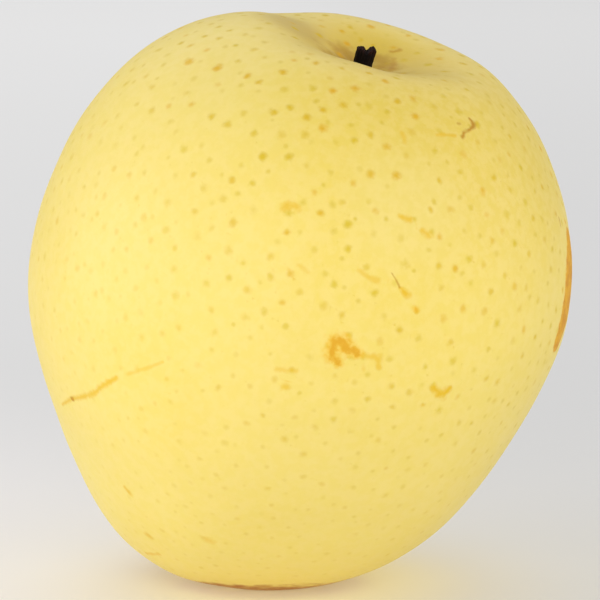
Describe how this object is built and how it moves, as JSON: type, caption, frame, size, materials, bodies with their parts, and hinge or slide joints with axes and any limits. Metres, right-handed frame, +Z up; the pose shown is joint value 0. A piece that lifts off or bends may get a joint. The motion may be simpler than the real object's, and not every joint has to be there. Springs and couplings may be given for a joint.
{
  "type": "nashi pear",
  "caption": "Whole round nashi pear, as picked, resting on its flower end and leaning a little, with a short dark stalk stub in its funnel.",
  "frame": {"origin": "on the table, under the middle of the fruit's outline seen from above", "axes": "+Z up. +X to the right as the fruit is seen from its front, the side that its stalk leans towards. +Y to the back"},
  "size_m": [0.0816, 0.0802, 0.0871],
  "materials": {
    "skin": "satin",
    "stalk": "matte"
  },
  "bodies": {
    "root": {"fruit": "skin", "stem": "stalk"}
  },
  "joints": []
}
